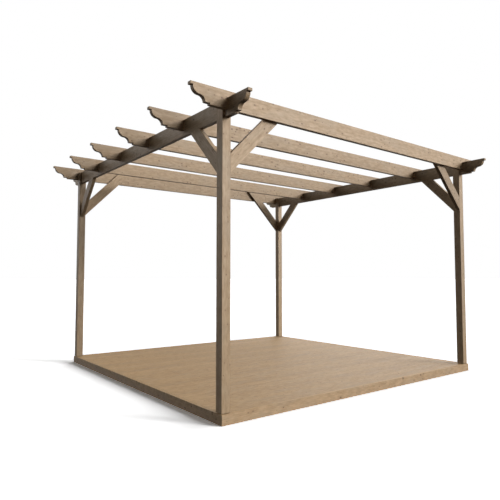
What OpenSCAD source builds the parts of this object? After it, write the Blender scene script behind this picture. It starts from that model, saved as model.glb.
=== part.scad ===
// Free-standing wooden pergola on its own low deck, in millimetres.
// X runs along the rafters, Y along the beams, Z up from the ground at the middle of the deck.

/* [Deck] */
// Length of the deck, along the rafters
deck_length = 3374; // [2800:1:4200]
// Width of the deck, along the beams
deck_width = 3266; // [2800:1:4200]
// Height of the walking surface above the ground
deck_height = 79; // [60:1:200]
// Thickness of the boarding
board_thickness = 22; // [16:1:32]
// Thickness of the fascia around the deck
fascia_thickness = 24; // [16:1:38]
// Thickness of a joist under the boarding
joist_thickness = 38; // [28:1:60]

/* [Posts] */
// Side of a square post
post_size = 75; // [60:1:120]
// Distance from the deck's short edges in to the posts
post_inset_x = 6; // [0:1:60]
// Distance from the deck's long edges in to the posts
post_inset_y = 13; // [0:1:60]
// Clear height from the deck to the underside of the beams
head_room = 2156; // [1900:1:2600]

/* [Roof timbers] */
// Thickness of the beams, rafters and braces
timber_thickness = 38; // [28:1:50]
// Depth of a beam
beam_depth = 138; // [120:1:200]
// Depth of a rafter
rafter_depth = 138; // [120:1:200]
// Height of the rafters' underside above the beams' underside
rafter_lift = 50; // [30:1:90]
// Reach of a beam beyond the posts
beam_reach = 287; // [240:1:420]
// Reach of a rafter beyond the posts
rafter_reach = 296; // [240:1:420]
// Spacing of the four inner rafters, centre to centre
rafter_pitch = 664; // [400:1:760]
// Play on each side of a timber in its slot
slot_play = 0.5; // [0.2:0.1:1]

/* [Scrolled ends] */
// Height of the upright nose at the tip
nose_height = 22; // [10:1:30]
// Step back under the nose
nose_step = 20; // [10:1:30]
// Radius of the round under the nose
round_radius = 57; // [40:1:70]
// Level step behind the hollow
toe_step = 40; // [10:1:50]
// Height of the toe above the timber's underside
toe_height = 13; // [6:1:20]

/* [Braces] */
// Depth of a brace, square to its slope
brace_depth = 105; // [70:1:140]
// Drop from the beams' underside to the lower corner of a brace under a beam
beam_brace_drop = 425; // [300:1:600]
// Drop from the beams' underside to the lower corner of a brace on a rafter
rafter_brace_drop = 408; // [300:1:600]

/* [Hidden] */

// The four corners as a name with the sign of X and of Y
corners = [["front_left", -1, -1], ["front_right", 1, -1], ["back_left", -1, 1], ["back_right", 1, 1]];
sides = [["left", -1], ["right", 1]];
ends = [["front", -1], ["back", 1]];
joist_count = 8;
rafter_count = 6;
curve_fn = 72;
// How far a cut runs past the face that it opens
overcut = 1;

post_outer_x = deck_length / 2 - post_inset_x;
post_outer_y = deck_width / 2 - post_inset_y;
post_x = post_outer_x - post_size / 2;
post_inner_x = post_outer_x - post_size;
post_inner_y = post_outer_y - post_size;

beam_bottom = deck_height + head_room;
beam_top = beam_bottom + beam_depth;
beam_tip = post_outer_y + beam_reach;
rafter_bottom = beam_bottom + rafter_lift;
rafter_top = rafter_bottom + rafter_depth;
rafter_tip = post_outer_x + rafter_reach;
// Each timber of a crossing gives up half of the overlap
half_lap = (beam_top - rafter_bottom) / 2;
slot_width = timber_thickness + 2 * slot_play;

// The end rafters lie against the posts' outer faces, the inner ones at an even pitch
end_rafter_y = post_outer_y + timber_thickness / 2;
inner_count = rafter_count - 2;
rafter_y = [
    -end_rafter_y,
    for (i = [0 : inner_count - 1]) (i - (inner_count - 1) / 2) * rafter_pitch,
    end_rafter_y
];

joist_top = deck_height - board_thickness;
joist_end = deck_width / 2 - fascia_thickness;
joist_outer = deck_length / 2 - fascia_thickness - joist_thickness / 2;

brace_rise = brace_depth * sqrt(2);

wood = "#a68d70";
wood_shade = "#7c6752";

// A box given by its low and high corners
module block(low, high) {
    translate(low) cube(high - low);
}

// What a saw takes off the right-hand end of a timber's side view, whose top edge is at zero
module scroll_cut(tip, depth) {
    hollow_radius = depth - nose_height - round_radius - toe_height;
    curve_x = tip - nose_step - round_radius;
    curve_z = -nose_height - round_radius;
    toe_x = curve_x - hollow_radius - toe_step;
    toe_z = toe_height - depth;
    difference() {
        translate([curve_x, curve_z]) square([tip + overcut - curve_x, round_radius]);
        translate([curve_x, -nose_height]) circle(round_radius, $fn = curve_fn);
    }
    translate([curve_x, toe_z]) {
        square([tip + overcut - curve_x, hollow_radius]);
        circle(hollow_radius, $fn = curve_fn);
    }
    translate([toe_x, -depth - overcut]) square([tip + overcut - toe_x, toe_height + overcut]);
}

// A timber along X, scrolled at both ends, centred on Y, with its top edge at zero
module scrolled_timber(tip, depth) {
    rotate([90, 0, 0])
        linear_extrude(timber_thickness, center = true)
            difference() {
                translate([-tip, -depth]) square([2 * tip, depth]);
                for (flip = [0, 1])
                    mirror([flip, 0]) scroll_cut(tip, depth);
            }
}

module deck_surface() {
    edge = [deck_length / 2 - fascia_thickness, joist_end];
    color(wood)
        block([-edge[0], -edge[1], joist_top], [edge[0], edge[1], deck_height]);
}

// Front and back fascia run the full length, and the side ones fit between them
module fascia_end(sign) {
    outer = deck_width / 2;
    color(wood)
        scale([1, sign, 1])
            block([-deck_length / 2, outer - fascia_thickness, 0], [deck_length / 2, outer, deck_height]);
}

module fascia_side(sign) {
    outer = deck_length / 2;
    color(wood_shade)
        scale([sign, 1, 1])
            block([outer - fascia_thickness, -joist_end, 0], [outer, joist_end, deck_height]);
}

module joist(index) {
    x = joist_outer * (2 * (index - 1) / (joist_count - 1) - 1);
    color(wood_shade)
        block([x - joist_thickness / 2, -joist_end, 0], [x + joist_thickness / 2, joist_end, joist_top]);
}

// A post whose forked head holds the beam
module post(sx, sy) {
    color(wood)
        translate([sx * post_x, sy * (post_outer_y - post_size / 2), 0])
            difference() {
                translate([-post_size / 2, -post_size / 2, deck_height])
                    cube([post_size, post_size, beam_top - deck_height]);
                translate([-slot_width / 2, -post_size / 2 - overcut, beam_bottom])
                    cube([slot_width, post_size + 2 * overcut, beam_depth + overcut]);
            }
}

// A beam with a slot in its top edge for each rafter
module beam(sign) {
    color(wood_shade)
        difference() {
            translate([sign * post_x, 0, beam_top])
                rotate([0, 0, 90]) scrolled_timber(beam_tip, beam_depth);
            for (y = rafter_y)
                translate([sign * post_x, y, beam_top - half_lap])
                    translate([-slot_width, -slot_width / 2, 0])
                        cube([2 * slot_width, slot_width, half_lap + overcut]);
        }
}

// A rafter with a slot in its lower edge for each beam
module rafter(index) {
    y = rafter_y[index - 1];
    color(wood)
        difference() {
            translate([0, y, rafter_top]) scrolled_timber(rafter_tip, rafter_depth);
            for (side = sides)
                translate([side[1] * post_x - slot_width / 2, y - slot_width, rafter_bottom - overcut])
                    cube([slot_width, 2 * slot_width, half_lap + overcut]);
        }
}

// Side view of a brace at 45 degrees, from the post's face up to a level cut
module brace_outline(foot, top) {
    polygon([
        [0, foot],
        [0, foot + brace_rise],
        [top - foot - brace_rise, top],
        [top - foot, top]
    ]);
}

// A brace from the post up to the underside of the beam, in line with the beam
module beam_brace(sx, sy) {
    color(wood_shade)
        scale([1, sy, 1])
            translate([sx * post_x, post_inner_y, 0])
                rotate([90, 0, -90])
                    linear_extrude(timber_thickness, center = true)
                        brace_outline(beam_bottom - beam_brace_drop, beam_bottom);
}

// A brace from the post up the inner face of the end rafter
module rafter_brace(sx, sy) {
    color(wood)
        scale([sx, sy, 1])
            translate([post_inner_x, post_outer_y, 0])
                mirror([1, 0, 0])
                    rotate([90, 0, 0])
                        linear_extrude(timber_thickness)
                            brace_outline(beam_bottom - rafter_brace_drop, rafter_top);
}

deck_surface();
for (e = ends)
    fascia_end(e[1]);
for (s = sides)
    fascia_side(s[1]);
for (i = [1 : joist_count])
    joist(i);
for (c = corners)
    post(c[1], c[2]);
for (s = sides)
    beam(s[1]);
for (i = [1 : rafter_count])
    rafter(i);
for (c = corners)
    beam_brace(c[1], c[2]);
for (c = corners)
    rafter_brace(c[1], c[2]);
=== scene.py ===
import math
import random

import bmesh
import bpy
from mathutils import Matrix, Vector


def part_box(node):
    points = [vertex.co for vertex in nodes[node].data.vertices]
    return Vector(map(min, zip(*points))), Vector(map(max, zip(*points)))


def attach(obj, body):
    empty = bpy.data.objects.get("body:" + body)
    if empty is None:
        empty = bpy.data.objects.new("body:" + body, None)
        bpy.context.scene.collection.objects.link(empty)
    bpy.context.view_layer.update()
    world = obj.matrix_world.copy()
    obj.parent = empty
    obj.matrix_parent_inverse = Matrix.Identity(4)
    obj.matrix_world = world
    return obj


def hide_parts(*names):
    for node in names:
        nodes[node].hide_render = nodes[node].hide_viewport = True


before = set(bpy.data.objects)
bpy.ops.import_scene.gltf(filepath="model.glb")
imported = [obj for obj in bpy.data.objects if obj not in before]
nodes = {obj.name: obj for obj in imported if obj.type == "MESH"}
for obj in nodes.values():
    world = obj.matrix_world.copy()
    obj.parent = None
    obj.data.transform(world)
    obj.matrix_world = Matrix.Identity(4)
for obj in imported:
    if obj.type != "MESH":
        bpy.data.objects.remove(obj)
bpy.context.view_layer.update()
scene = bpy.context.scene
scene.view_settings.view_transform = "Standard"
print("frame loaded,", len(nodes), "nodes")

corners = ["front_left", "front_right", "back_left", "back_right"]
rafters = [f"rafter_{index + 1}" for index in range(6)]
joists = [f"joist_{index + 1}" for index in range(8)]
alongX = Vector((1, 0, 0))
alongY = Vector((0, 1, 0))
alongZ = Vector((0, 0, 1))


# the signs of X and Y that lead from a corner to the middle
def inwards(corner):
    inX = 1 if "left" in corner else -1
    inY = 1 if "front" in corner else -1
    return inX, inY


# camera, solved from the photo's edges

viewPoint = {"place": (-3.648, -4.509, 1.058), "turn": 37.57, "tilt": 3.19,
             "lens": 34.74, "sensor": 36, "farthest": 500}


def addCamera(look):
    data = bpy.data.cameras.new("viewCamera")
    data.lens = look["lens"]
    data.sensor_width = look["sensor"]
    data.clip_end = look["farthest"]
    camera = bpy.data.objects.new("viewCamera", data)
    camera.location = look["place"]
    camera.rotation_euler = (math.radians(90 + look["tilt"]), 0, math.radians(-look["turn"]))
    scene.collection.objects.link(camera)
    scene.camera = camera


addCamera(viewPoint)
print("camera set")


# shader building helpers; nodes lie in rows, in the order in which they are made

nodeRows = {"across": 8, "wide": 200, "tall": 320}


def addNode(tree, kind, inputs=None, **settings):
    row, column = divmod(len(tree.nodes), nodeRows["across"])
    node = tree.nodes.new(kind)
    node.location = (column * nodeRows["wide"], -row * nodeRows["tall"])
    for name, value in settings.items():
        setattr(node, name, value)
    for name, value in (inputs or {}).items():
        socket = node.inputs[name]
        if isinstance(value, bpy.types.NodeSocket):
            tree.links.new(value, socket)
        else:
            socket.default_value = value
    return node


def addMath(tree, operation, *values, clamp=False):
    inputs = dict(enumerate(values))
    return addNode(tree, "ShaderNodeMath", inputs, operation=operation, use_clamp=clamp).outputs[0]


def addVectorMath(tree, operation, *values):
    inputs = dict(enumerate(values))
    return addNode(tree, "ShaderNodeVectorMath", inputs, operation=operation).outputs[0]


def addScale(tree, vector, factor):
    inputs = {0: vector, "Scale": factor}
    return addNode(tree, "ShaderNodeVectorMath", inputs, operation="SCALE").outputs[0]


def addNoise(tree, spot, scale, detail, rough=0.5):
    inputs = {"Vector": spot, "Scale": scale, "Detail": detail, "Roughness": rough}
    return addNode(tree, "ShaderNodeTexNoise", inputs).outputs


def addLongNoise(tree, spot, stretch, detail, rough=0.5):
    return addNoise(tree, addVectorMath(tree, "MULTIPLY", spot, stretch), 1.0, detail, rough)


def addRange(tree, value, span, low=0.0, high=1.0, smooth=False):
    inputs = {"Value": value, "From Min": span[0], "From Max": span[1], "To Min": low, "To Max": high}
    curve = "SMOOTHSTEP" if smooth else "LINEAR"
    return addNode(tree, "ShaderNodeMapRange", inputs, interpolation_type=curve).outputs[0]


def opaque(colour):
    return (*colour, 1) if isinstance(colour, tuple) else colour


def addMix(tree, factor, first, second):
    inputs = {"Factor": factor, "A": opaque(first), "B": opaque(second)}
    return addNode(tree, "ShaderNodeMix", inputs, data_type="RGBA").outputs["Result"]


def startGroup(name, inputs, outputs):
    tree = bpy.data.node_groups.new(name, "ShaderNodeTree")
    tree.interface.new_socket("Vector", in_out="INPUT", socket_type="NodeSocketVector")
    for label in inputs:
        tree.interface.new_socket(label, in_out="INPUT", socket_type="NodeSocketFloat")
    for label in outputs:
        tree.interface.new_socket(label, in_out="OUTPUT", socket_type="NodeSocketFloat")
    return tree, addNode(tree, "NodeGroupInput").outputs


def startMaterial(name):
    material = bpy.data.materials.new(name)
    material.use_nodes = True
    material.node_tree.nodes.clear()
    return material, material.node_tree


# wood figure: rings round a pith along X, fibres, mottling, weathering and small knots
# a noise is its stretch along and across the grain, its detail and its roughness

figureForm = {"ruffle": (70.0, 2.0), "ruffleSize": 0.008, "knotStretch": (20.0, 30.0, 30.0), "knotEven": 0.6,
              "whorl": ((3.5, 7.0, 7.0), 1.0), "whorlSpan": (0.36, 0.64), "whorlLeast": 0.45,
              "knotSpan": (1.05, 0.75), "coreSpan": (0.8, 0.3), "haloSpan": (2.6, 0.8), "knotBulge": 0.01,
              "drift": ((0.9, 7.0, 7.0), 3.0), "riseSpan": (0.15, 0.85), "fallSpan": (1.0, 0.9),
              "fibre": ((9.0, 420.0, 420.0), 4.0, 0.65), "mottle": ((16.0, 55.0, 55.0), 4.0, 0.6),
              "weather": ((3.2, 9.0, 9.0), 3.0), "weatherSpan": (0.45, 0.68),
              "ringRelief": 0.4, "knotRelief": 0.5, "noiseMiddle": (0.5, 0.5, 0.5)}


# small stretched cells with uneven rims, larger where a whorl of branches was
def addKnots(tree, spot, size, form):
    ruffle = addNoise(tree, spot, *form["ruffle"])["Color"]
    ruffleOff = addVectorMath(tree, "SUBTRACT", ruffle, form["noiseMiddle"])
    ruffled = addVectorMath(tree, "MULTIPLY_ADD", ruffleOff, [form["ruffleSize"]] * 3, spot)
    knotSpace = addVectorMath(tree, "MULTIPLY", ruffled, form["knotStretch"])
    inputs = {"Vector": knotSpace, "Scale": 1.0, "Randomness": 1.0}
    cell = addNode(tree, "ShaderNodeTexVoronoi", inputs).outputs
    chance = addNode(tree, "ShaderNodeSeparateColor", {"Color": cell["Color"]}).outputs["Red"]
    even = addMath(tree, "POWER", chance, form["knotEven"])
    whorl = addLongNoise(tree, spot, *form["whorl"])["Fac"]
    whorlPart = addRange(tree, whorl, form["whorlSpan"], low=form["whorlLeast"])
    reach = addMath(tree, "MULTIPLY", addMath(tree, "MULTIPLY", even, whorlPart), size)
    ratio = addMath(tree, "DIVIDE", cell["Distance"], reach)
    return [addRange(tree, ratio, form[span], smooth=True) for span in ["knotSpan", "coreSpan", "haloSpan"]]


# the distance from the pith, pushed outwards round each knot and cut into rings
def addRings(tree, drifted, halo, scale, form):
    across = addNode(tree, "ShaderNodeSeparateXYZ", {"Vector": drifted}).outputs
    flat = addNode(tree, "ShaderNodeCombineXYZ", {"Y": across["Y"], "Z": across["Z"]}).outputs[0]
    pithReach = addNode(tree, "ShaderNodeVectorMath", {0: flat}, operation="LENGTH").outputs["Value"]
    bulge = addMath(tree, "MULTIPLY_ADD", halo, form["knotBulge"], pithReach)
    ringPart = addMath(tree, "FRACT", addMath(tree, "MULTIPLY", bulge, scale))
    rise = addRange(tree, ringPart, form["riseSpan"], smooth=True)
    fall = addRange(tree, ringPart, form["fallSpan"])
    return addMath(tree, "MULTIPLY", rise, fall)


def buildWoodFigure(form):
    tree, source = startGroup("woodFigure", ["Ring Scale", "Ring Warp", "Knot Size"],
                              ["Ring", "Fibre", "Mottle", "Knot", "Core", "Halo", "Weather", "Height"])
    spot = source["Vector"]
    knot, core, halo = addKnots(tree, spot, source["Knot Size"], form)
    # slow sideways drift along the grain
    drift = addLongNoise(tree, spot, *form["drift"])["Color"]
    driftOff = addVectorMath(tree, "SUBTRACT", drift, form["noiseMiddle"])
    drifted = addVectorMath(tree, "ADD", addScale(tree, driftOff, source["Ring Warp"]), spot)
    ring = addRings(tree, drifted, halo, source["Ring Scale"], form)
    fibre = addLongNoise(tree, drifted, *form["fibre"])["Fac"]
    mottle = addLongNoise(tree, spot, *form["mottle"])["Fac"]
    cloud = addLongNoise(tree, spot, *form["weather"])["Fac"]
    weather = addRange(tree, cloud, form["weatherSpan"], smooth=True)
    ringRelief = addMath(tree, "MULTIPLY_ADD", ring, form["ringRelief"], fibre)
    relief = addMath(tree, "MULTIPLY_ADD", knot, form["knotRelief"], ringRelief)
    addNode(tree, "NodeGroupOutput", {"Ring": ring, "Fibre": fibre, "Mottle": mottle, "Knot": knot,
                                      "Core": core, "Halo": halo, "Weather": weather, "Height": relief})
    return tree


woodFigure = buildWoodFigure(figureForm)

frameWood = {"name": "frameWood", "pale": (0.52, 0.366, 0.22), "late": (0.345, 0.223, 0.118),
             "knotRim": (0.15, 0.08, 0.042), "knotCore": (0.24, 0.13, 0.066), "grey": (0.4, 0.31, 0.215),
             "base": 0.3, "ring": 0.2, "fibre": 0.8, "mottle": 2.0, "weather": 0.3, "halo": 0.3, "knot": 0.85,
             "endCut": 0.35, "ringScale": 75.0, "ringWarp": 0.03, "knotSize": 0.27,
             "rough": (0.5, 0.62), "gloss": 0.42, "bump": 0.0006, "bumpStrength": 0.6}
postWood = dict(frameWood, name="postWood", knotSize=0.18)
deckWood = dict(frameWood, name="deckWood", pale=(0.598, 0.398, 0.208), late=(0.436, 0.268, 0.129),
                ring=0.25, ringScale=60.0, knotSize=0.18, weather=0.2, rough=(0.72, 0.82), gloss=0.225)
# the fascia is paler than the frame: partly its own tone, partly painted light that the floor bounces up
fasciaWoodAndBounceLight = dict(frameWood, name="fasciaWoodAndBounceLight", pale=(0.6, 0.415, 0.24), late=(0.405, 0.253, 0.133))
# the fascia's top is finished as the boards are and painted paler than them, a painted highlight along the
# deck's edge
fasciaTopWoodAndHighlight = dict(deckWood, name="fasciaTopWoodAndHighlight", pale=(0.64, 0.43, 0.228), late=(0.468, 0.29, 0.141))
joistWood = dict(frameWood, name="joistWood", pale=(0.4, 0.285, 0.175), late=(0.25, 0.17, 0.095),
                 ring=0.5, rough=(0.8, 0.9))


def makeWood(look):
    material, tree = startMaterial(look["name"])
    grain = addNode(tree, "ShaderNodeAttribute", attribute_name="grainSpot").outputs["Vector"]
    tone = addNode(tree, "ShaderNodeAttribute", attribute_name="tone").outputs["Fac"]
    cut = addNode(tree, "ShaderNodeAttribute", attribute_name="endCut").outputs["Fac"]
    inputs = {"Vector": grain, "Ring Scale": look["ringScale"], "Ring Warp": look["ringWarp"],
              "Knot Size": look["knotSize"]}
    figure = addNode(tree, "ShaderNodeGroup", inputs, node_tree=woodFigure).outputs

    # how dark the wood is, from rings, fibres and mottling
    dark = addMath(tree, "MULTIPLY", figure["Ring"], look["ring"])
    dark = addMath(tree, "MULTIPLY_ADD", figure["Fibre"], look["fibre"], dark)
    dark = addMath(tree, "MULTIPLY_ADD", figure["Mottle"], look["mottle"], dark)
    dark = addMath(tree, "ADD", dark, look["base"] - (look["fibre"] + look["mottle"]) / 2, clamp=True)

    tint = addMix(tree, dark, look["pale"], look["late"])
    tint = addMix(tree, addMath(tree, "MULTIPLY", figure["Halo"], look["halo"]), tint, look["late"])
    tint = addMix(tree, addMath(tree, "MULTIPLY", figure["Weather"], look["weather"]), tint, look["grey"])
    knotTint = addMix(tree, figure["Core"], look["knotRim"], look["knotCore"])
    tint = addMix(tree, addMath(tree, "MULTIPLY", figure["Knot"], look["knot"]), tint, knotTint)
    tint = addMix(tree, addMath(tree, "MULTIPLY", cut, look["endCut"]), tint, look["late"])
    # the tone scale carries the wood's own tone and also painted light and shade on some timbers and the
    # rafters' ends
    tint = addScale(tree, tint, tone)

    rough = addRange(tree, dark, (0.0, 1.0), *look["rough"])
    inputs = {"Height": figure["Height"], "Strength": look["bumpStrength"], "Distance": look["bump"]}
    bump = addNode(tree, "ShaderNodeBump", inputs).outputs[0]
    inputs = {"Base Color": tint, "Roughness": rough, "Normal": bump, "Specular IOR Level": look["gloss"]}
    surface = addNode(tree, "ShaderNodeBsdfPrincipled", inputs).outputs[0]
    addNode(tree, "ShaderNodeOutputMaterial", {"Surface": surface})
    return material


frameFinish = makeWood(frameWood)
postFinish = makeWood(postWood)
deckFinish = makeWood(deckWood)
fasciaFinishAndBounceLight = makeWood(fasciaWoodAndBounceLight)
fasciaTopFinishAndHighlight = makeWood(fasciaTopWoodAndHighlight)
joistFinish = makeWood(joistWood)
print("wood finishes made")


# timbers: softened copies of the CAD solids, each with its own run of grain

dice = random.Random(11)
timberForm = {"arris": 0.0015, "segments": 2, "toneSpread": 0.06, "pithNear": 0.05, "pithFar": 0.13,
              "runLength": 40}
postForm = dict(timberForm, footEase=0.005)
fasciaForm = dict(timberForm, arris=0.0007, topFrom=0.5)
# brightness of the listed timbers: partly their own tone, partly painted light and shade, lighter on the
# front rafter and darker on the back left post under the roof
timberToneAndPaintedLight = {"rafter_1": 1.22, "rafter_2": 1.12, "rafter_3": 1.1, "rafter_4": 1.06, "rafter_5": 1.06,
               "rafter_6": 0.95, "beam_left": 0.97, "beam_right": 0.93, "rafter_brace_front_left": 1.17,
               "post_front_left": 1.05, "post_front_right": 1.02, "post_back_left": 0.75,
               "post_back_right": 1.05}
grainRuns = {"post_front_left": 17.3, "fascia_left": 5.0}
# painted shade on the rafters' outer ends, where the beams keep light off them:
# full strength from start outwards, none inside stop
paintedEndShade = {"start": 1.71, "stop": 1.4, "rafter_1": 0.94, "rafter_2": 0.78, "rafter_5": 0.75,
           "rafter_6": 0.77, "others": 0.82}
# distances in metres and angles in degrees for work on the meshes
shaping = {"weld": 0.00002, "near": 0.0001, "flatAngle": 1, "sharpAngle": 30, "smoothAngle": 18,
           "upright": 0.9, "endFrom": 0.3}


def layGrain(bm, axis, centre, pith, run, tone):
    grainSpot = bm.verts.layers.float_vector.new("grainSpot")
    toneLayer = bm.verts.layers.float.new("tone")
    side = axis.cross(alongZ if abs(axis.z) < shaping["upright"] else alongY).normalized()
    turn = Matrix((axis, side, axis.cross(side)))
    shift = Vector((run, pith[0], pith[1]))
    for vert in bm.verts:
        vert[grainSpot] = turn @ (vert.co - centre) + shift
        vert[toneLayer] = tone


# painted shade: the tone falls towards the rafters' outer ends
def paintShadeOnEnds(piece, shadeSpan, strength):
    bm = bmesh.new()
    bm.from_mesh(piece.data)
    for reach in [-shadeSpan["start"], -shadeSpan["stop"], shadeSpan["stop"], shadeSpan["start"]]:
        bmesh.ops.bisect_plane(bm, geom=bm.verts[:] + bm.edges[:] + bm.faces[:], dist=shaping["near"],
                               plane_co=(reach, 0, 0), plane_no=alongX)
    toneLayer = bm.verts.layers.float["tone"]
    for vert in bm.verts:
        part = (abs(vert.co.x) - shadeSpan["stop"]) / (shadeSpan["start"] - shadeSpan["stop"])
        vert[toneLayer] *= 1 + (strength - 1) * min(1, max(0, part))
    bm.to_mesh(piece.data)
    bm.free()


def markEnds(bm, axis):
    endCut = bm.faces.layers.float.new("endCut")
    bm.normal_update()
    for face in bm.faces:
        part = abs(face.normal.dot(axis)) - shaping["endFrom"]
        face[endCut] = max(0, part) / (1 - shaping["endFrom"])


def pickPith(form):
    reach = dice.uniform(form["pithNear"], form["pithFar"])
    angle = dice.uniform(0, 2 * math.pi)
    return reach * math.cos(angle), reach * math.sin(angle)


def finishPiece(bm, name, finish, stands=()):
    mesh = bpy.data.meshes.new(name)
    bm.to_mesh(mesh)
    bm.free()
    mesh.polygons.foreach_set("use_smooth", [True] * len(mesh.polygons))
    mesh.set_sharp_from_angle(angle=math.radians(shaping["smoothAngle"]))
    mesh.materials.append(finish)
    piece = bpy.data.objects.new(name, mesh)
    scene.collection.objects.link(piece)
    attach(piece, "root")
    if stands:
        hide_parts(*stands)
    return piece


def bevelEdges(bm, edges, width, segments):
    bmesh.ops.bevel(bm, geom=edges, offset=width, offset_type="OFFSET", affect="EDGES",
                    segments=segments, profile=0.5, clamp_overlap=True, material=-1)


def softenEdges(bm, form):
    least = math.radians(shaping["sharpAngle"])
    sharp = [edge for edge in bm.edges if edge.is_convex and edge.calc_face_angle(0) > least]
    bevelEdges(bm, sharp, form["arris"], form["segments"])


def easeFoot(bm, level, ease):
    foot = [edge for edge in bm.edges
            if all(abs(vert.co.z - level) < shaping["near"] for vert in edge.verts)]
    bevelEdges(bm, foot, ease, 1)


def addTimber(node, axis, finish, form=timberForm):
    bm = bmesh.new()
    bm.from_mesh(nodes[node].data)
    bmesh.ops.remove_doubles(bm, verts=bm.verts, dist=shaping["weld"])
    flat = math.radians(shaping["flatAngle"])
    bmesh.ops.dissolve_limit(bm, angle_limit=flat, verts=bm.verts, edges=bm.edges)
    low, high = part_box(node)
    if "footEase" in form:
        easeFoot(bm, low.z, form["footEase"])
    softenEdges(bm, form)
    chance = 1 + dice.uniform(-form["toneSpread"], form["toneSpread"])
    pith = pickPith(form)
    run = dice.uniform(0, form["runLength"])
    layGrain(bm, axis, (low + high) / 2, pith, grainRuns.get(node, run), timberToneAndPaintedLight.get(node, chance))
    markEnds(bm, axis)
    return finishPiece(bm, "wood_" + node, finish, [node])


for corner in corners:
    addTimber("post_" + corner, alongZ, postFinish, postForm)
for side in ["left", "right"]:
    addTimber("beam_" + side, alongY, frameFinish)
for name in rafters:
    rafter = addTimber(name, alongX, frameFinish)
    paintShadeOnEnds(rafter, paintedEndShade, paintedEndShade.get(name, paintedEndShade["others"]))
for corner in corners:
    inX, inY = inwards(corner)
    addTimber("beam_brace_" + corner, Vector((0, inY, 1)).normalized(), frameFinish)
    addTimber("rafter_brace_" + corner, Vector((inX, 0, 1)).normalized(), frameFinish)
for side, axis in [("front", alongX), ("back", alongX), ("left", alongY), ("right", alongY)]:
    fascia = addTimber("fascia_" + side, axis, fasciaFinishAndBounceLight, fasciaForm)
    fascia.data.materials.append(fasciaTopFinishAndHighlight)
    # the top faces get the paler finish, a painted highlight along the deck's edge
    for polygon in fascia.data.polygons:
        isTop = polygon.normal.z > fasciaForm["topFrom"]
        polygon.material_index = 1 if isTop else 0  # trodden as the boards are
for name in joists:
    addTimber(name, alongY, joistFinish)
print("timbers finished")


# deck boards, laid along X inside the fascia

boards = {"count": 28, "gap": 0.0015, "endGap": 0.001, "arris": 0.0012, "segments": 1, "toneSpread": 0.02,
          "batchSwing": 0.028, "batchLength": 3.4, "pithNear": 0.05, "pithFar": 0.12, "runLength": 40}


# adds a finished bmesh to the one that holds the whole piece
def gather(whole, bm):
    shelf = bpy.data.meshes.new("shelf")
    bm.to_mesh(shelf)
    bm.free()
    whole.from_mesh(shelf)
    bpy.data.meshes.remove(shelf)


def addDeckBoards(form):
    low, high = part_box("deck_surface")
    pitch = (high.y - low.y) / form["count"]
    size = (high.x - low.x - form["endGap"], pitch - form["gap"], high.z - low.z)
    whole = bmesh.new()
    for index in range(form["count"]):
        bm = bmesh.new()
        centre = Vector(((low.x + high.x) / 2, low.y + (index + 0.5) * pitch, (low.z + high.z) / 2))
        bmesh.ops.create_cube(bm, size=1)
        bmesh.ops.scale(bm, verts=bm.verts, vec=size)
        bmesh.ops.translate(bm, verts=bm.verts, vec=centre)
        softenEdges(bm, form)
        batch = form["batchSwing"] * math.sin(2 * math.pi * index / form["batchLength"])
        tone = 1 + batch + dice.uniform(-form["toneSpread"], form["toneSpread"])
        layGrain(bm, alongX, centre, pickPith(form), dice.uniform(0, form["runLength"]), tone)
        markEnds(bm, alongX)
        gather(whole, bm)
    return finishPiece(whole, "deck_boards", deckFinish, ["deck_surface"])


addDeckBoards(boards)
print("deck laid")


# screws: countersunk heads in the boards, the fascia, the braces and the rafters' tops

screwSteel = {"name": "screwSteel", "bright": (0.4, 0.31, 0.18), "dull": (0.25, 0.19, 0.11),
              "rough": (0.34, 0.52), "metallic": 0.85, "speckle": (350, 3.0)}
screwForm = {"head": 0.004, "cone": 0.0047, "proud": 0.0003, "sunk": 0.0012, "lobes": 6, "lobeCut": 0.7,
             "drive": 0.0022, "driveDeep": 0.0011, "driveTaper": 0.0002, "boardEdge": 0.02, "postClear": 0.01,
             "pairGap": 0.018, "braceEnd": 0.06, "braceDepth": 0.105, "rafterInset": 0.035, "fasciaCount": 6}


def makeSteel(look):
    material, tree = startMaterial(look["name"])
    place = addNode(tree, "ShaderNodeTexCoord").outputs["Object"]
    speckle = addNoise(tree, place, *look["speckle"])["Fac"]
    tint = addMix(tree, speckle, look["bright"], look["dull"])
    rough = addRange(tree, speckle, (0.0, 1.0), *look["rough"])
    inputs = {"Base Color": tint, "Roughness": rough, "Metallic": look["metallic"]}
    surface = addNode(tree, "ShaderNodeBsdfPrincipled", inputs).outputs[0]
    addNode(tree, "ShaderNodeOutputMaterial", {"Surface": surface})
    return material


# a low cone, with a lobed recess for the driver in its top
def shapeScrew(form):
    bm = bmesh.new()
    tall = form["sunk"] + form["proud"]
    bmesh.ops.create_cone(bm, cap_ends=True, segments=2 * form["lobes"], radius1=form["cone"],
                          radius2=form["head"], depth=tall)
    bmesh.ops.translate(bm, verts=bm.verts, vec=(0, 0, form["proud"] - tall / 2))
    top = max(bm.faces, key=lambda face: face.calc_center_median().z)
    bmesh.ops.inset_region(bm, faces=[top], thickness=form["head"] - form["drive"], use_even_offset=True)
    lobes = [vert for index, vert in enumerate(top.verts) if index % 2]
    bmesh.ops.scale(bm, verts=lobes, vec=(form["lobeCut"], form["lobeCut"], 1))
    bmesh.ops.inset_region(bm, faces=[top], thickness=form["driveTaper"], depth=-form["driveDeep"])
    mesh = bpy.data.meshes.new("screwShape")
    bm.to_mesh(mesh)
    bm.free()
    return mesh


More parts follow.
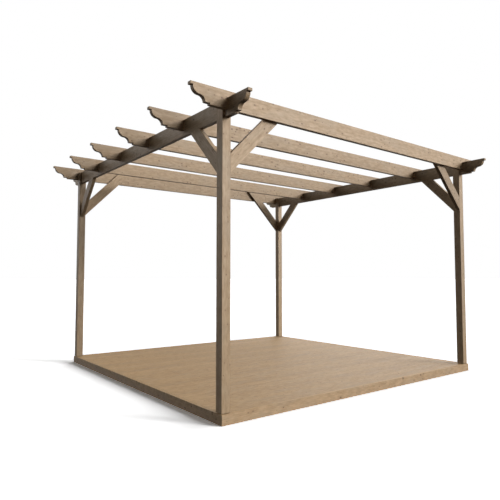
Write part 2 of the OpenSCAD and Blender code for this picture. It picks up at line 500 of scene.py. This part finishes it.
# each spot is a place on the surface and the way that the head faces
def boardScrewSpots(form):
    low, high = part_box("deck_surface")
    pitch = (high.y - low.y) / boards["count"]
    aside = pitch / 2 - form["boardEdge"]
    clear = Vector((form["postClear"], form["postClear"], 0))
    postBoxes = [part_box("post_" + corner) for corner in corners]
    keepOut = [(postLow - clear, postHigh + clear) for postLow, postHigh in postBoxes]
    spots = []
    for joist in joists:
        joistLow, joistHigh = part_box(joist)
        x = (joistLow.x + joistHigh.x) / 2
        for index in range(boards["count"]):
            middle = low.y + (index + 0.5) * pitch
            for y in [middle - aside, middle + aside]:
                if not any(a.x < x < b.x and a.y < y < b.y for a, b in keepOut):
                    spots.append((Vector((x, y, high.z)), alongZ))
    return spots


def fasciaScrewSpots(form):
    spots = []
    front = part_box("fascia_front")[0].y
    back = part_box("fascia_back")[1].y
    for joist in joists:
        low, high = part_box(joist)
        x = (low.x + high.x) / 2
        z = (low.z + high.z) / 2  # the same for every joist
        spots.append((Vector((x, front, z)), -alongY))
        spots.append((Vector((x, back, z)), alongY))
    for side, facing in [("left", -alongX), ("right", alongX)]:
        low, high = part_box("fascia_" + side)
        x = low.x if side == "left" else high.x
        for index in range(form["fasciaCount"]):
            y = low.y + (index + 0.5) / form["fasciaCount"] * (high.y - low.y)
            spots.append((Vector((x, y, z)), facing))
    return spots


# the braces lean at 45 degrees
def braceScrewSpots(form):
    spots = []
    pair = [-form["pairGap"] / 2, form["pairGap"] / 2]
    for corner in corners:
        inX, inY = inwards(corner)
        low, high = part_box("beam_brace_" + corner)
        foot = Vector(((low.x + high.x) / 2, low.y if inY > 0 else high.y, low.z))
        along = Vector((0, inY, 1)).normalized()
        under = Vector((0, inY, -1)).normalized()
        length = (high.z - low.z) * math.sqrt(2)
        for reach in [form["braceEnd"], length - form["braceEnd"]]:
            spots += [(foot + along * reach + alongX * aside, under) for aside in pair]

        low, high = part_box("rafter_brace_" + corner)
        foot = Vector((low.x if inX > 0 else high.x, (low.y + high.y) / 2, low.z))
        along = Vector((inX, 0, 1)).normalized()
        under = Vector((inX, 0, -1)).normalized()
        spots += [(foot + along * form["braceEnd"] + alongY * aside, under) for aside in pair]
        rafterLow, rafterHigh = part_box(rafters[0] if inY > 0 else rafters[-1])
        inner = high.y if inY > 0 else low.y
        for z in [rafterLow.z + form["rafterInset"], rafterHigh.z - form["rafterInset"]]:
            across = z - low.z - form["braceDepth"] / math.sqrt(2)
            spots.append((Vector((foot.x + inX * across, inner, z)), alongY * inY))
    return spots


def rafterScrewSpots():
    spots = []
    for rafter in rafters:
        low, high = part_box(rafter)
        for side in ["left", "right"]:
            beamLow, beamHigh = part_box("beam_" + side)
            spots.append((Vector(((beamLow.x + beamHigh.x) / 2, (low.y + high.y) / 2, high.z)), alongZ))
    return spots


def addScrews(name, spots, finish, shape):
    whole = bmesh.new()
    for place, facing in spots:
        bm = bmesh.new()
        bm.from_mesh(shape)
        turn = facing.to_track_quat("Z", "Y").to_matrix().to_4x4()
        bmesh.ops.transform(bm, matrix=Matrix.Translation(place) @ turn, verts=bm.verts)
        gather(whole, bm)
    return finishPiece(whole, name, finish)


screwFinish = makeSteel(screwSteel)
screwShape = shapeScrew(screwForm)
addScrews("deck_screws", boardScrewSpots(screwForm) + fasciaScrewSpots(screwForm), screwFinish, screwShape)
addScrews("frame_screws", braceScrewSpots(screwForm) + rafterScrewSpots(), screwFinish, screwShape)
bpy.data.meshes.remove(screwShape)
print("screws driven")


# floor, world and lamps; the lamps give direct light only

studio = {"floorSize": 400, "floorPale": 2.3, "floorLift": 0.01, "floorGlow": 0.28, "floorDark": 0.1,
          "sky": 0.0, "backdrop": 1.0, "bounces": 0}
lamps = {"keyNarrow": {"turn": 37.5, "rise": 16, "power": 0.84, "spread": 10},
         "keyMiddle": {"turn": 32, "rise": 23, "power": 1.41, "spread": 31},
         "keyRight": {"turn": 69, "rise": 43, "power": 0.68, "spread": 36},
         "frontLow": {"turn": 36, "rise": 5, "power": 0.6, "spread": 30},
         "sideLow": {"turn": 126, "rise": 3, "power": 3.3, "spread": 32},
         "backLow": {"turn": 200, "rise": 6, "power": 0.39, "spread": 45},
         "leftHigh": {"turn": 235, "rise": 30, "power": 0.24, "spread": 45}}


def plainGrey(value):
    return (value, value, value, 1)


# 1 for the rays that show the backdrop: from the camera, or by way of metal or glass
def backdropRays(tree):
    ray = addNode(tree, "ShaderNodeLightPath").outputs
    mirror = addMath(tree, "MAXIMUM", ray["Is Camera Ray"], ray["Is Glossy Ray"])
    return addMath(tree, "MAXIMUM", mirror, ray["Is Transmission Ray"])


# pale with the object's shadow where it is seen, dark to all other rays
def makeFloorPaint(look):
    material, tree = startMaterial("studioFloor")
    lit = addNode(tree, "ShaderNodeBsdfDiffuse", {"Color": plainGrey(look["floorPale"])}).outputs[0]
    glossy = addNode(tree, "ShaderNodeLightPath").outputs["Is Glossy Ray"]
    glow = addMath(tree, "MULTIPLY_ADD", glossy, look["floorGlow"], look["floorLift"])
    lift = addNode(tree, "ShaderNodeEmission", {"Strength": glow}).outputs[0]
    seen = addNode(tree, "ShaderNodeAddShader", {0: lit, 1: lift}).outputs[0]
    unseen = addNode(tree, "ShaderNodeBsdfDiffuse", {"Color": plainGrey(look["floorDark"])}).outputs[0]
    both = addNode(tree, "ShaderNodeMixShader", {0: backdropRays(tree), 1: unseen, 2: seen}).outputs[0]
    addNode(tree, "ShaderNodeOutputMaterial", {"Surface": both})
    return material


def addFloor(look):
    bm = bmesh.new()
    bmesh.ops.create_grid(bm, x_segments=1, y_segments=1, size=look["floorSize"] / 2)
    mesh = bpy.data.meshes.new("studioFloor")
    bm.to_mesh(mesh)
    bm.free()
    floor = bpy.data.objects.new("studioFloor", mesh)
    scene.collection.objects.link(floor)
    mesh.materials.append(makeFloorPaint(look))


def addWorld(look):
    world = bpy.data.worlds.new("studioWorld")
    scene.world = world
    world.use_nodes = True
    tree = world.node_tree
    tree.nodes.clear()
    inputs = {"Color": plainGrey(1), "Strength": look["sky"]}
    fill = addNode(tree, "ShaderNodeBackground", inputs).outputs[0]
    inputs = {"Color": plainGrey(1), "Strength": look["backdrop"]}
    white = addNode(tree, "ShaderNodeBackground", inputs).outputs[0]
    both = addNode(tree, "ShaderNodeMixShader", {0: backdropRays(tree), 1: fill, 2: white}).outputs[0]
    addNode(tree, "ShaderNodeOutputWorld", {"Surface": both})


def addSun(name, look, bounces):
    data = bpy.data.lights.new(name, "SUN")
    data.energy = look["power"]
    data.cycles.max_bounces = bounces
    data.angle = math.radians(look["spread"])
    lamp = bpy.data.objects.new(name, data)
    lamp.rotation_euler = (math.radians(90 - look["rise"]), 0, math.radians(look["turn"]))
    scene.collection.objects.link(lamp)


addFloor(studio)
addWorld(studio)
for name, look in lamps.items():
    addSun(name, look, studio["bounces"])
print("studio lit")
